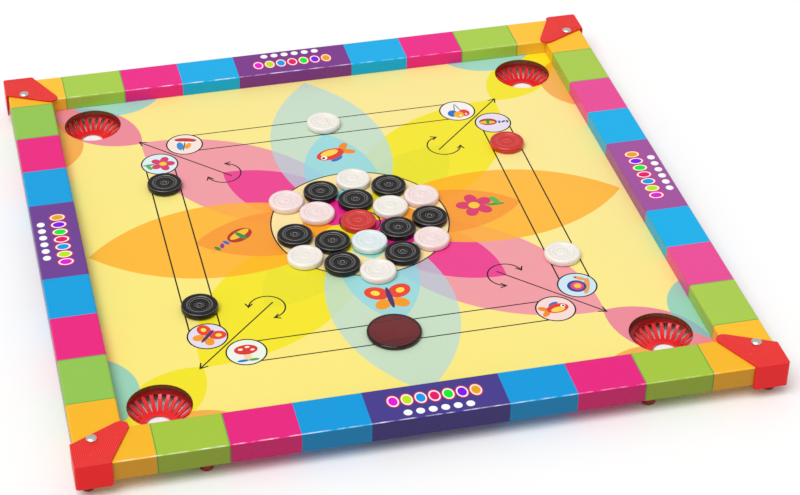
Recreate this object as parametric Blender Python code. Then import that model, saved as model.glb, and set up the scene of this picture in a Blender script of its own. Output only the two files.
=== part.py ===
"""A small square carrom board with its men and striker, in metres, +Z up.

The origin is on the surface that the feet stand on, under the board's centre. +X is to the right
and +Y is to the back of the board. Every piece is a separate solid, named as a maker would name it.
"""

from math import atan2, cos, degrees, pi, radians, sin, sqrt

import bmesh
import bpy
from mathutils import Matrix

# Driving dimensions of the board
BOARD_WIDTH = 0.508  # over the rails, each way
RAIL_WIDTH = 0.0359
RAIL_HEIGHT = 0.0157
RAIL_EDGE_RADIUS = 0.0018
PANEL_THICKNESS = 0.004
PANEL_REBATE = 0.010  # how far the panel reaches in under the rails
FOOT_HEIGHT = 0.0125

# Pockets and their cups
POCKET_DIAMETER = 0.0472
POCKET_FROM_RAIL = 0.0065  # from the hole's edge to the rail
POCKET_DRIFT = {"front_right": (-0.0040, 0.0015)}  # the hole that is punched off its mark
CUP_DRIFT = {"front_right": (-0.0020, 0.0)}  # how far its cup was moved after it
CUP_OUTWARD = 0.0016  # how far each cup is seated towards its corner from the hole's mark
CUP_MOUTH_CLEARANCE = 0.0006  # on the radius, so that the hole's edge stands inside the cup
CUP_WALL = 0.0012
CUP_FLANGE_WIDTH = 0.0056
CUP_COLLAR = 0.0034
CUP_FLOOR_GAP = 0.0010  # between the cup and what the board stands on
CUP_HOLE_DIAMETER = 0.0178
CUP_RING_WIDTH = 0.0048  # the unbroken ring round that hole
CUP_SLOTS = 24
CUP_SLOT_OUTER = 0.56  # a slot's share of the way from one slot to the next, at its outer end
CUP_SLOT_INNER = 0.22  # and at its inner end

# Corner caps and their rivets
CAP_WALL = 0.0016
CAP_PLATE = 0.0012
CAP_SIDE = 0.0228  # from the rail's outer face to where the plate leaves the skirt
CAP_REACH = 0.0476  # from the rails' outer faces to the point of the plate, before it is rounded
CAP_TIP_RADIUS = 0.0058
CAP_CORNER_RADIUS = 0.0020
CAP_SKIRT_LENGTH = 0.0242
CAP_SKIRT_DROP = 0.0034  # below the rails' underside
CAP_SKIRT_RADIUS = 0.0022
RIVET_HEAD_DIAMETER = 0.0078
RIVET_HEAD_HEIGHT = 0.0019
RIVET_SHANK_DIAMETER = 0.0030
RIVET_SHANK_DEPTH = 0.0080  # into the rail
RIVET_FROM_END = 0.0255  # along the side rail, from the board's outer face
RIVET_FROM_SIDE = 0.0135  # across the side rail, from its outer face

# Feet: two under each rail, part-way out on the front and back, and near the ends of the sides
FOOT_DIAMETER = 0.0120
FOOT_TAPER = 0.0010  # how much smaller the radius is at the ground
FOOT_FROM_EDGE = 0.0138  # from the front or back rail's outer face
FOOT_FROM_MIDDLE = 0.1605  # along the front and back rails
FOOT_SHIFT = -0.0035  # of both of a rail's feet, along it
END_FOOT_FROM_SIDE = 0.0073  # from a side rail's outer face
END_FOOT_FROM_END = 0.0113
NAIL_HEAD_DIAMETER = 0.0046
NAIL_HEAD_HEIGHT = 0.0009
NAIL_SHANK_DIAMETER = 0.0018
NAIL_DEPTH = 0.0075  # into the rail
NAIL_SUNK = 0.0030  # the head's underside above the ground

# Men and striker
MAN_DIAMETER = 0.028
MAN_HEIGHT = 0.0054
MAN_BEVEL = 0.0011
MAN_DISH_DIAMETER = 0.0185
MAN_DISH_DEPTH = 0.0007
STRIKER_DIAMETER = 0.0408
STRIKER_HEIGHT = 0.0032
STRIKER_BEVEL = 0.0005
BASE_LINE_FROM_RAIL = 0.0763  # the middle of the strip that the striker is placed in

# Clearances
SEAT_GAP = 0.0003  # between pieces that touch
HOLE_CLEARANCE = 0.0003  # round a shank, on the radius

# Facets round a turned piece
FINE = 36
MEDIUM = 20
COARSE = 12

# Worked out from the sizes above
HALF = BOARD_WIDTH / 2
INNER_HALF = HALF - RAIL_WIDTH
RAIL_BOTTOM = FOOT_HEIGHT + SEAT_GAP
RAIL_TOP = RAIL_BOTTOM + RAIL_HEIGHT
PLAY_SURFACE = RAIL_BOTTOM + PANEL_THICKNESS
PANEL_HALF = INNER_HALF + PANEL_REBATE - SEAT_GAP
POCKET_RADIUS = POCKET_DIAMETER / 2
POCKET_CENTRE = INNER_HALF - POCKET_FROM_RAIL - POCKET_RADIUS
CAP_TOP = RAIL_TOP + SEAT_GAP + CAP_PLATE
CAP_BOTTOM = RAIL_BOTTOM - CAP_SKIRT_DROP
SKIRT_INSIDE = HALF + SEAT_GAP
SKIRT_OUTSIDE = SKIRT_INSIDE + CAP_WALL
MEN_LEVEL = PLAY_SURFACE + SEAT_GAP
BASE_LINE = INNER_HALF - BASE_LINE_FROM_RAIL

# Each corner's name and which way it lies from the middle
CORNERS = {
    "front_left": (-1, -1),
    "front_right": (1, -1),
    "back_right": (1, 1),
    "back_left": (-1, 1),
}

# Each rail's turn from the front, and the corners at its ends
RAILS = {
    "rail_front": (0, ("front_left", "front_right")),
    "rail_right": (pi / 2, ("front_right", "back_right")),
    "rail_back": (pi, ("back_right", "back_left")),
    "rail_left": (-pi / 2, ("back_left", "front_left")),
}

# Where the opening group of men lies on the board, in man diameters from the middle
GROUP = {
    "queen_01": (-0.07, -0.11),
    "black_man_01": (-0.80, 1.54),
    "black_man_02": (1.17, 1.42),
    "black_man_03": (0.08, 0.92),
    "black_man_04": (-1.95, -0.40),
    "black_man_05": (1.93, -0.36),
    "black_man_06": (-0.99, -0.92),
    "black_man_07": (0.93, -0.70),
    "black_man_08": (-0.95, -1.99),
    "black_man_09": (0.78, -1.86),
    "white_man_01": (0.24, 1.95),
    "white_man_02": (-1.86, 1.28),
    "white_man_03": (-1.12, 0.53),
    "white_man_04": (0.97, 0.38),
    "white_man_05": (1.96, 0.71),
    "white_man_06": (0.01, -1.14),
    "white_man_07": (1.73, -1.38),
    "white_man_08": (-1.88, -1.46),
    "white_man_09": (-0.07, -2.52),
}

# The men that lie on the base strips: the strip's side, how far out of its middle, and along it
OUTLYING = {
    "black_man_10": ("left", 0.0011, 0.0822),
    "black_man_11": ("left", 0.0003, -0.0846),
    "queen_02": ("right", 0.0015, 0.0805),
    "white_man_10": ("right", -0.0004, -0.0801),
    "white_man_11": ("back", 0.0019, 0.0015),
}
STRIKER_ALONG = -0.0073  # along the front base strip
STRIKER_OUT = 0.0029  # and how far out of its middle


def clear_scene():
    for obj in list(bpy.data.objects):
        bpy.data.objects.remove(obj, do_unlink=True)


def material(name, colour, roughness, metallic=0.0, alpha=1.0):
    made = bpy.data.materials.new(name)
    made.use_nodes = True
    shader = made.node_tree.nodes["Principled BSDF"]
    shader.inputs["Base Color"].default_value = (*colour, 1.0)
    shader.inputs["Roughness"].default_value = roughness
    shader.inputs["Metallic"].default_value = metallic
    shader.inputs["Alpha"].default_value = alpha
    return made


def add_object(name, bm, finish, location=(0, 0, 0), angle=0.0):
    """One named object from a bmesh, with its normals facing out, round sides smooth."""
    bmesh.ops.recalc_face_normals(bm, faces=bm.faces)
    mesh = bpy.data.meshes.new(name)
    bm.to_mesh(mesh)
    bm.free()
    mesh.materials.append(finish)
    mesh.shade_smooth()
    mesh.set_sharp_from_angle(angle=radians(35))
    obj = bpy.data.objects.new(name, mesh)
    obj.location = location
    obj.rotation_euler = (0, 0, angle)
    bpy.context.scene.collection.objects.link(obj)
    return obj


def turned(profile, facets):
    """A solid of revolution about Z, from (radius, height) points that start and end on the axis."""
    bm = bmesh.new()
    points = [bm.verts.new((radius, 0, height)) for radius, height in profile]
    edges = [bm.edges.new(pair) for pair in zip(points, points[1:])]
    bmesh.ops.spin(
        bm,
        geom=points + edges,
        cent=(0, 0, 0),
        axis=(0, 0, 1),
        angle=2 * pi,
        steps=facets,
        use_merge=True,
    )
    bmesh.ops.remove_doubles(bm, verts=bm.verts, dist=1e-6)
    return bm


def prism(outline, low, high):
    """A straight solid on a plan outline of (x, y) points, between two heights."""
    bm = bmesh.new()
    base = bm.faces.new([bm.verts.new((x, y, low)) for x, y in outline])
    grown = bmesh.ops.extrude_face_region(bm, geom=[base])
    raised = [item for item in grown["geom"] if isinstance(item, bmesh.types.BMVert)]
    bmesh.ops.translate(bm, verts=raised, vec=(0, 0, high - low))
    return bm


def arc(centre, radius, start, end, steps):
    """Points on an arc, with the angles in degrees, both ends included."""
    turns = [radians(start + (end - start) * step / steps) for step in range(steps + 1)]
    return [(centre[0] + radius * cos(turn), centre[1] + radius * sin(turn)) for turn in turns]


def cylinder_into(bm, radius, low, high, x, y, facets):
    """Adds an upright cylinder to a cutter."""
    bmesh.ops.create_cone(
        bm,
        cap_ends=True,
        segments=facets,
        radius1=radius,
        radius2=radius,
        depth=high - low,
        matrix=Matrix.Translation((x, y, (low + high) / 2)),
    )


def combine(obj, bm, name, operation):
    """Joins a bmesh to an object, or cuts it away, with a Boolean that stays live."""
    bmesh.ops.recalc_face_normals(bm, faces=bm.faces)
    mesh = bpy.data.meshes.new(name)
    bm.to_mesh(mesh)
    bm.free()
    other = bpy.data.objects.new(name, mesh)
    other.hide_render = True
    other.display_type = "WIRE"
    bpy.context.scene.collection.objects.link(other)
    modifier = obj.modifiers.new(name, "BOOLEAN")
    modifier.operation = operation
    modifier.solver = "EXACT"
    modifier.object = other


def rivet_place(sign_x, sign_y):
    return sign_x * (HALF - RIVET_FROM_SIDE), sign_y * (HALF - RIVET_FROM_END)


def foot_place(rail, sign_x, sign_y):
    """Where the foot nearest one corner stands under a rail."""
    if rail in ("rail_front", "rail_back"):
        return sign_x * FOOT_FROM_MIDDLE + FOOT_SHIFT, sign_y * (HALF - FOOT_FROM_EDGE)
    return sign_x * (HALF - END_FOOT_FROM_SIDE), sign_y * (HALF - END_FOOT_FROM_END)


def rail_section():
    """The rail's cross-section as (depth inwards from the outer face, height) points."""
    shoulder = PLAY_SURFACE + SEAT_GAP
    foot_of_rebate = RAIL_WIDTH - PANEL_REBATE
    r = RAIL_EDGE_RADIUS
    section = [(foot_of_rebate, RAIL_BOTTOM), (foot_of_rebate, shoulder), (RAIL_WIDTH, shoulder)]
    section += arc((RAIL_WIDTH - r, RAIL_TOP - r), r, 0, 90, 4)
    section += arc((r, RAIL_TOP - r), r, 90, 180, 4)
    section += [(0, RAIL_BOTTOM)]
    return section


def make_rail(name, side, finish):
    """One rail, modelled along the front and turned to its side, with mitred ends."""
    mitre_gap = SEAT_GAP / sqrt(2)
    ends = []
    bm = bmesh.new()
    for sign in (-1, 1):
        points = [
            (sign * (HALF - depth - mitre_gap), depth - HALF, height)
            for depth, height in rail_section()
        ]
        ends.append([bm.verts.new(point) for point in points])
    bm.faces.new(ends[0])
    bm.faces.new(list(reversed(ends[1])))
    count = len(ends[0])
    for index in range(count):
        after = (index + 1) % count
        bm.faces.new((ends[0][index], ends[1][index], ends[1][after], ends[0][after]))
    bmesh.ops.rotate(bm, verts=bm.verts, cent=(0, 0, 0), matrix=Matrix.Rotation(side, 3, "Z"))
    return add_object(name, bm, finish)


def drill_rail(rail, corners):
    """The blind holes in one rail: a nail's for each foot, and a rivet's on the side rails."""
    holes = bmesh.new()
    nail_radius = NAIL_SHANK_DIAMETER / 2 + HOLE_CLEARANCE
    nail_top = RAIL_BOTTOM + NAIL_DEPTH + SEAT_GAP
    rivet_radius = RIVET_SHANK_DIAMETER / 2 + HOLE_CLEARANCE
    rivet_low = RAIL_TOP - RIVET_SHANK_DEPTH - SEAT_GAP
    for sign_x, sign_y in corners:
        x, y = foot_place(rail.name, sign_x, sign_y)
        cylinder_into(holes, nail_radius, 0, nail_top, x, y, COARSE)
        if rail.name in ("rail_left", "rail_right"):
            x, y = rivet_place(sign_x, sign_y)
            cylinder_into(holes, rivet_radius, rivet_low, CAP_TOP, x, y, COARSE)
    combine(rail, holes, "holes_" + rail.name, "DIFFERENCE")


def make_rails():
    finish = material("printed_rail", (0.05, 0.40, 0.80), 0.25)
    for name, (side, ends) in RAILS.items():
        rail = make_rail(name, side, finish)
        drill_rail(rail, [CORNERS[end] for end in ends])


def make_panel():
    """The hardboard playing panel, with a round hole for each pocket."""
    finish = material("printed_panel", (0.95, 0.80, 0.30), 0.30)
    square = [(-PANEL_HALF, -PANEL_HALF), (PANEL_HALF, -PANEL_HALF)]
    square += [(PANEL_HALF, PANEL_HALF), (-PANEL_HALF, PANEL_HALF)]
    panel = add_object("playing_panel", prism(square, RAIL_BOTTOM, PLAY_SURFACE), finish)
    holes = bmesh.new()
    low, high = RAIL_BOTTOM - PANEL_THICKNESS, PLAY_SURFACE + PANEL_THICKNESS
    for name, (sign_x, sign_y) in CORNERS.items():
        drift_x, drift_y = POCKET_DRIFT.get(name, (0, 0))
        x, y = sign_x * POCKET_CENTRE + drift_x, sign_y * POCKET_CENTRE + drift_y
        cylinder_into(holes, POCKET_RADIUS, low, high, x, y, FINE)
    combine(panel, holes, "pocket_holes", "DIFFERENCE")


def cup_rows():
    """(radius, height of the upper side) of the cup's rows, from the flange's rim to the hole."""
    top = RAIL_BOTTOM - SEAT_GAP
    bottom = CUP_FLOOR_GAP + CUP_WALL
    mouth = POCKET_RADIUS + CUP_MOUTH_CLEARANCE
    ring = CUP_HOLE_DIAMETER / 2 + CUP_RING_WIDTH
    collar_foot = top - CUP_COLLAR
    return [
        (mouth + CUP_FLANGE_WIDTH, top),
        (mouth, top),
        (mouth, collar_foot),
        (ring, bottom),
        (CUP_HOLE_DIAMETER / 2, bottom),
    ]


def cup_underside():
    """The same rows on the cup's lower side, a wall's thickness away."""
    rows = [(radius, height - CUP_WALL) for radius, height in cup_rows()]
    rows[1] = (rows[1][0] + CUP_WALL, rows[1][1])
    rows[2] = (rows[2][0] + CUP_WALL, rows[2][1])
    return rows


def cup_turns(slot_share):
    """The angles where ribs and slots meet, each slot starting at an odd step."""
    pitch = 2 * pi / CUP_SLOTS
    turns = []
    for slot in range(CUP_SLOTS):
        middle = (slot - 0.25) * pitch
        turns += [middle + slot_share * pitch / 2, middle + (1 - slot_share / 2) * pitch]
    return turns


def cup_mesh():
    """The slotted funnel under a pocket. Every second sector is open along the sloping wall."""
    sectors = 2 * CUP_SLOTS
    slotted = 2  # the row of faces down the sloping wall
    bm = bmesh.new()
    sides = []
    for rows in (cup_rows(), cup_underside()):
        rings = []
        for row, (radius, height) in enumerate(rows):
            turns = cup_turns(CUP_SLOT_OUTER if row <= slotted else CUP_SLOT_INNER)
            rings.append([bm.verts.new((radius * cos(a), radius * sin(a), height)) for a in turns])
        sides.append(rings)
    upper, lower = sides
    last = len(upper) - 1
    for step in range(sectors):
        after = (step + 1) % sectors
        is_slot = step % 2
        for row in range(last):
            if row == slotted and is_slot:
                continue
            for rings in (upper, lower):
                outer, inner = rings[row], rings[row + 1]
                bm.faces.new((outer[step], outer[after], inner[after], inner[step]))
        edges = (0, slotted, slotted + 1, last) if is_slot else (0, last)
        for row in edges:
            top, under = upper[row], lower[row]
            bm.faces.new((top[step], top[after], under[after], under[step]))
        if is_slot:
            for side in (step, after):
                top_outer, top_inner = upper[slotted][side], upper[slotted + 1][side]
                under_inner, under_outer = lower[slotted + 1][side], lower[slotted][side]
                bm.faces.new((top_outer, top_inner, under_inner, under_outer))
    return bm


def make_cups():
    finish = material("pocket_red", (0.80, 0.03, 0.04), 0.30)
    reach = POCKET_CENTRE + CUP_OUTWARD
    for name, (sign_x, sign_y) in CORNERS.items():
        drift_x, drift_y = CUP_DRIFT.get(name, (0, 0))
        place = (sign_x * reach + drift_x, sign_y * reach + drift_y, 0)
        add_object("pocket_cup_" + name, cup_mesh(), finish, place)


def cap_corner():
    """The rounded outer corner of the back right cap, in plan, from the side round to the end."""
    centre = SKIRT_OUTSIDE - CAP_CORNER_RADIUS
    return arc((centre, centre), CAP_CORNER_RADIUS, 0, 90, 4)


def cap_plate_outline():
    """The back right plate's plan: its outer corner, and a rounded point inwards."""
    side = HALF - CAP_SIDE
    apex = HALF - CAP_REACH
    slope = atan2(side - apex, SKIRT_OUTSIDE - apex)
    centre = apex + CAP_TIP_RADIUS / sin(pi / 4 - slope) / sqrt(2)
    first = 270 + degrees(slope)
    tip = arc((centre, centre), CAP_TIP_RADIUS, first, 180 - degrees(slope), 8)
    return [*cap_corner(), (side, SKIRT_OUTSIDE), *reversed(tip), (SKIRT_OUTSIDE, side)]


def cap_skirt_outline():
    """Both skirts of the back right cap, in plan."""
    end = HALF - CAP_SKIRT_LENGTH
    inside = [(end, SKIRT_INSIDE), (SKIRT_INSIDE, SKIRT_INSIDE), (SKIRT_INSIDE, end)]
    return [*cap_corner(), (end, SKIRT_OUTSIDE), *inside, (SKIRT_OUTSIDE, end)]


def skirt_trim(along_x):
    """What is cut off a skirt's lower free corner to round it, drawn in elevation and stood up."""
    r = CAP_SKIRT_RADIUS
    end = HALF - CAP_SKIRT_LENGTH
    beyond = CAP_WALL
    outline = [(end - beyond, CAP_BOTTOM - beyond), (end + r, CAP_BOTTOM - beyond)]
    outline += reversed(arc((end + r, CAP_BOTTOM + r), r, 180, 270, 5))
    outline += [(end - beyond, CAP_BOTTOM + r)]
    trim = prism(outline, SKIRT_INSIDE - beyond, SKIRT_OUTSIDE + beyond)
    # The outline runs (along, up) and the wall's thickness is its height, so it is stood up.
    if along_x:
        stand = Matrix(((1, 0, 0, 0), (0, 0, 1, 0), (0, 1, 0, 0), (0, 0, 0, 1)))
    else:
        stand = Matrix(((0, 0, 1, 0), (1, 0, 0, 0), (0, 1, 0, 0), (0, 0, 0, 1)))
    bmesh.ops.transform(trim, matrix=stand, verts=trim.verts)
    return trim


def make_caps():
    """Each cap is its plate joined to its skirts, trimmed, and drilled for its rivet."""
    finish = material("cap_red", (0.78, 0.03, 0.04), 0.30)
    for name, (sign_x, sign_y) in CORNERS.items():
        flip = Matrix.Diagonal((sign_x, sign_y, 1, 1))
        plate = prism(cap_plate_outline(), CAP_TOP - CAP_PLATE, CAP_TOP)
        skirts = prism(cap_skirt_outline(), CAP_BOTTOM, CAP_TOP - CAP_PLATE / 2)
        trims = [skirt_trim(True), skirt_trim(False)]
        for piece in (plate, skirts, *trims):
            bmesh.ops.transform(piece, matrix=flip, verts=piece.verts)
        cap = add_object("corner_cap_" + name, plate, finish)
        combine(cap, skirts, "skirts_" + name, "UNION")
        for side, trim in zip(("end", "side"), trims):
            combine(cap, trim, "trim_{}_{}".format(side, name), "DIFFERENCE")
        x, y = rivet_place(sign_x, sign_y)
        hole = bmesh.new()
        radius = RIVET_SHANK_DIAMETER / 2 + HOLE_CLEARANCE
        cylinder_into(hole, radius, RAIL_TOP, CAP_TOP + CAP_PLATE, x, y, COARSE)
        combine(cap, hole, "rivet_hole_" + name, "DIFFERENCE")


def make_rivets():
    """Domed rivets that hold the caps to the side rails."""
    finish = material("rivet_steel", (0.75, 0.75, 0.75), 0.20, metallic=1.0)
    seat = CAP_TOP + SEAT_GAP
    head = RIVET_HEAD_DIAMETER / 2
    shank = RIVET_SHANK_DIAMETER / 2
    dome = [
        (head * cos(radians(turn)), seat + RIVET_HEAD_HEIGHT * sin(radians(turn)))
        for turn in (0, 22, 45, 68)
    ]
    profile = [(0, RAIL_TOP - RIVET_SHANK_DEPTH), (shank, RAIL_TOP - RIVET_SHANK_DEPTH), (shank, seat)]
    profile += dome + [(0, seat + RIVET_HEAD_HEIGHT)]
    for name, (sign_x, sign_y) in CORNERS.items():
        x, y = rivet_place(sign_x, sign_y)
        add_object("cap_rivet_" + name, turned(profile, COARSE), finish, (x, y, 0))


def make_feet():
    """Round feet, each drilled for a nail whose head is sunk in a counterbore."""
    rubber = material("foot_maroon", (0.22, 0.02, 0.03), 0.55)
    steel = material("nail_steel", (0.60, 0.60, 0.61), 0.35, metallic=1.0)
    top = FOOT_DIAMETER / 2
    ground = top - FOOT_TAPER
    bore = NAIL_SHANK_DIAMETER / 2 + HOLE_CLEARANCE
    counterbore = NAIL_HEAD_DIAMETER / 2 + HOLE_CLEARANCE
    seat = NAIL_SUNK + NAIL_HEAD_HEIGHT + SEAT_GAP
    foot = [
        (bore, seat),
        (counterbore, seat),
        (counterbore, 0),
        (ground, 0),
        (top, FOOT_HEIGHT),
        (bore, FOOT_HEIGHT),
        (bore, seat),
    ]
    shank = NAIL_SHANK_DIAMETER / 2
    nail = [
        (0, NAIL_SUNK),
        (NAIL_HEAD_DIAMETER / 2, NAIL_SUNK),
        (NAIL_HEAD_DIAMETER / 2, NAIL_SUNK + NAIL_HEAD_HEIGHT),
        (shank, NAIL_SUNK + NAIL_HEAD_HEIGHT),
        (shank, RAIL_BOTTOM + NAIL_DEPTH - 2 * shank),
        (0, RAIL_BOTTOM + NAIL_DEPTH),
    ]
    for rail, (_, ends) in RAILS.items():
        for end in ends:
            x, y = foot_place(rail, *CORNERS[end])
            name = rail.replace("rail_", "") + "_rail_" + end
            add_object("foot_" + name, turned(foot, COARSE), rubber, (x, y, 0))
            add_object("nail_" + name, turned(nail, COARSE // 2), steel, (x, y, 0))


def man_profile():
    """A turned man, with bevelled edges and a shallow dish in its upper face."""
    rim = MAN_DIAMETER / 2
    dish = MAN_DISH_DIAMETER / 2
    return [
        (0, 0),
        (rim - MAN_BEVEL, 0),
        (rim, MAN_BEVEL),
        (rim, MAN_HEIGHT - MAN_BEVEL),
        (rim - MAN_BEVEL, MAN_HEIGHT),
        (dish, MAN_HEIGHT),
        (dish - MAN_DISH_DEPTH, MAN_HEIGHT - MAN_DISH_DEPTH),
        (0, MAN_HEIGHT - MAN_DISH_DEPTH),
    ]


def strip_place(side, out, along):
    """A place on a base strip, as x and y."""
    across = BASE_LINE + out
    places = {
        "left": (-across, along),
        "right": (across, along),
        "back": (along, across),
        "front": (along, -across),
    }
    return places[side]


def make_men():
    finishes = {
        "black": material("man_black", (0.012, 0.012, 0.014), 0.25),
        "white": material("man_white", (0.85, 0.83, 0.84), 0.25),
        "queen": material("man_red", (0.45, 0.02, 0.03), 0.25),
    }
    places = {name: (x * MAN_DIAMETER, y * MAN_DIAMETER) for name, (x, y) in GROUP.items()}
    places.update({name: strip_place(*place) for name, place in OUTLYING.items()})
    for name, (x, y) in places.items():
        finish = finishes[name.split("_")[0]]
        add_object(name, turned(man_profile(), MEDIUM), finish, (x, y, MEN_LEVEL))


def make_striker():
    finish = material("striker_maroon", (0.20, 0.02, 0.03), 0.15, alpha=0.8)
    rim = STRIKER_DIAMETER / 2
    profile = [
        (0, 0),
        (rim - STRIKER_BEVEL, 0),
        (rim, STRIKER_BEVEL),
        (rim, STRIKER_HEIGHT - STRIKER_BEVEL),
        (rim - STRIKER_BEVEL, STRIKER_HEIGHT),
        (0, STRIKER_HEIGHT),
    ]
    x, y = strip_place("front", STRIKER_OUT, STRIKER_ALONG)
    add_object("striker", turned(profile, FINE), finish, (x, y, MEN_LEVEL))


clear_scene()
make_rails()
make_panel()
make_cups()
make_caps()
make_rivets()
make_feet()
make_men()
make_striker()
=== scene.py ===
"""A small square carrom board with its men and striker, dressed round its CAD frame, in metres."""

from math import cos, pi, radians, sin, sqrt

import bpy
from mathutils import Matrix, Vector


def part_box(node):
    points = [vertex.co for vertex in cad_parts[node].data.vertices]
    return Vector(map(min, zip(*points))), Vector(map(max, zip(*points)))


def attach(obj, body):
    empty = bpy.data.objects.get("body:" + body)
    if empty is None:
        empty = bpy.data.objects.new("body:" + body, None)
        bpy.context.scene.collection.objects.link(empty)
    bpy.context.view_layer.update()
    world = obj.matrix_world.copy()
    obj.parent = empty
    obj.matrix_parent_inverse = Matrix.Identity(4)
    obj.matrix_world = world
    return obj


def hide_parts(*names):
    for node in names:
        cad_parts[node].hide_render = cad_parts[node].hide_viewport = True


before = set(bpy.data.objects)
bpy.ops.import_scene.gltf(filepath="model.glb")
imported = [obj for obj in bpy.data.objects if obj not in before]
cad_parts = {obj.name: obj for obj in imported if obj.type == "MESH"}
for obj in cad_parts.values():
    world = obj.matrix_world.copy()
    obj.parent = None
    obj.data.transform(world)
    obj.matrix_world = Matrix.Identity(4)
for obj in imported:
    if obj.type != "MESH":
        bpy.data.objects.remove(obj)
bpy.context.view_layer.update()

MM = 0.001
PANEL_LOW, PANEL_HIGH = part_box("playing_panel")
RAIL_LOW, RAIL_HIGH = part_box("rail_front")
CAP_LOW, CAP_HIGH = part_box("corner_cap_back_right")
HALF = RAIL_HIGH.x  # half the board over its rails
MAN_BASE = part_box("queen_01")[0].z

# The panel's print, from the middle of the board
PETAL_LENGTH = 215 * MM
PETAL_WIDTH = 97 * MM
INNER_PETAL_LENGTH = 132 * MM
INNER_PETAL_WIDTH = 59 * MM
HEART_PETAL_LENGTH = 50 * MM
HEART_PETAL_WIDTH = 34 * MM
CORNER_PETAL_START = 214 * MM
CORNER_PETAL_TIP = 308 * MM
CORNER_PETAL_WIDTH = 49 * MM
EDGE_ROUND_CENTRE = (243 * MM, 165 * MM)
EDGE_ROUND_RADIUS = 44 * MM
CENTRE_RING = 70.3 * MM
QUEEN_RING = 16 * MM
BASE_STRIP = 142.3 * MM  # the middle of the strip between two base lines
BASE_STRIP_HALF = 11.7 * MM
BASE_ROUND = (141.8 * MM, 117.2 * MM)
BASE_ROUND_RADIUS = 14.8 * MM
ARROW_TIP = 153.3 * sqrt(2) * MM
ARROW_TAIL = 87 * sqrt(2) * MM
TURN_CENTRE = 92.6 * sqrt(2) * MM  # of the turning arrow round each arrow's tail
TURN_RADIUS = 13.8 * MM
TURN_GAP = radians(58)  # from the diagonal to the turning arrow's ends
LINE = 1.15 * MM
GROUND = "FAE97E"

# The rails' wrap: how far from its middle each colour block starts, what each rail's print run
# made of the five inks, and how far each wrap slipped along its rail
WRAP_BLOCKS = (0, 49.5 * MM, 99 * MM, 149 * MM, 199 * MM)
WRAP_INKS = {
    "rail_front": ("463A8C", "0099DC", "E6207F", "A4C63E", "F6B824"),
    "rail_left": ("6E3F94", "009FDF", "EA2080", "92C550", "F7B824"),
    "rail_back": ("7C368C", "06ADE8", "EC2488", "A9CE4A", "FBC434"),
    "rail_right": ("A0509C", "06AEE8", "E84A96", "A9CB4C", "FBC02A"),
}
WRAP_SLIP = {
    "rail_front": 0,
    "rail_left": 12.6 * MM,
    "rail_back": -7 * MM,
    "rail_right": -2 * MM,
}
BEAD_ROW = 233.5 * MM  # two rows of printed beads, from the middle of the board
SMALL_BEAD_ROW = 247.2 * MM
BEAD_PITCH = 10 * MM
SMALL_BEAD_PITCH = 9 * MM
FOLD_DEPTH = 0.9 * MM  # how far down its sides the top of a rail's wrap turns over
CAP_LINE_SPACING = 1.25 * MM  # of the fine raised lines on a cap
CAP_ARM_START = 23 * MM  # from a rail's outer face to where a cap's slanting edge leaves it
RING_SHOULDER = 4.85 * MM  # above a man's base
STRIKER_RIM_SHADE = (18.5 * MM, 19.3 * MM)  # where the painted shade on its rim starts, and where it is fully dark

ROUND_STEPS = 64


# ---------------------------------------------------------------- colours and nodes


def linear(hex_value):
    """An sRGB hex colour as linear red, green, blue and alpha."""
    parts = [int(hex_value[place : place + 2], 16) / 255 for place in (0, 2, 4)]
    return [c / 12.92 if c <= 0.04045 else ((c + 0.055) / 1.055) ** 2.4 for c in parts] + [1.0]


def add(tree, kind, *values, out=0, named=None, **settings):
    """Adds a node with its settings, and gives one of its outputs.

    The values go to its first inputs, and the named ones to inputs by name or number. Each is a
    socket to link or a plain value.
    """
    made = tree.nodes.new("ShaderNode" + kind)
    for name, value in settings.items():
        setattr(made, name, value)
    for key, value in {**dict(enumerate(values)), **(named or {})}.items():
        if isinstance(value, bpy.types.NodeSocket):
            tree.links.new(value, made.inputs[key])
        else:
            made.inputs[key].default_value = value
    return made.outputs[out]


def start_material(name):
    """A material, its node tree, its shader and the piece's own coordinates."""
    material = bpy.data.materials.new(name)
    material.use_nodes = True
    tree = material.node_tree
    return material, tree, tree.nodes["Principled BSDF"], add(tree, "TexCoord", out="Object")


def finish_shader(tree, shader, linked, **constants):
    """Links what varies over the surface and sets what doesn't on the shader itself."""
    for name, socket in linked.items():
        tree.links.new(socket, shader.inputs[name])
    for name, value in constants.items():
        shader.inputs[name.replace("_", " ")].default_value = value


def printed_over(tree, share, below, ink, blend="MIX"):
    """What a layer of ink makes of the colour below it."""
    layers = {"Factor": share, 6: below, 7: ink}
    return add(tree, "Mix", out=2, named=layers, data_type="RGBA", blend_type=blend)


# ---------------------------------------------------------------- shapes in print


def inside_round(tree, place, centre, radius):
    """1 within a radius of a point, and 0 beyond it."""
    reach = add(tree, "VectorMath", place, (*centre, 0), out="Value", operation="DISTANCE")
    return add(tree, "Math", reach, radius, operation="LESS_THAN")


def on_ring(tree, place, centre, radius):
    """1 on the line of a drawn circle."""
    reach = add(tree, "VectorMath", place, (*centre, 0), out="Value", operation="DISTANCE")
    return add(tree, "Math", reach, radius, LINE / 2, operation="COMPARE")


def inside_petal(tree, place, start, tip, width):
    """1 in a petal along the first coordinate. The second is folded, so one round side will do."""
    length, half = (tip - start) / 2, width / 2
    radius = (length**2 + half**2) / (2 * half)
    return inside_round(tree, place, ((start + tip) / 2, half - radius), radius)


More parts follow.
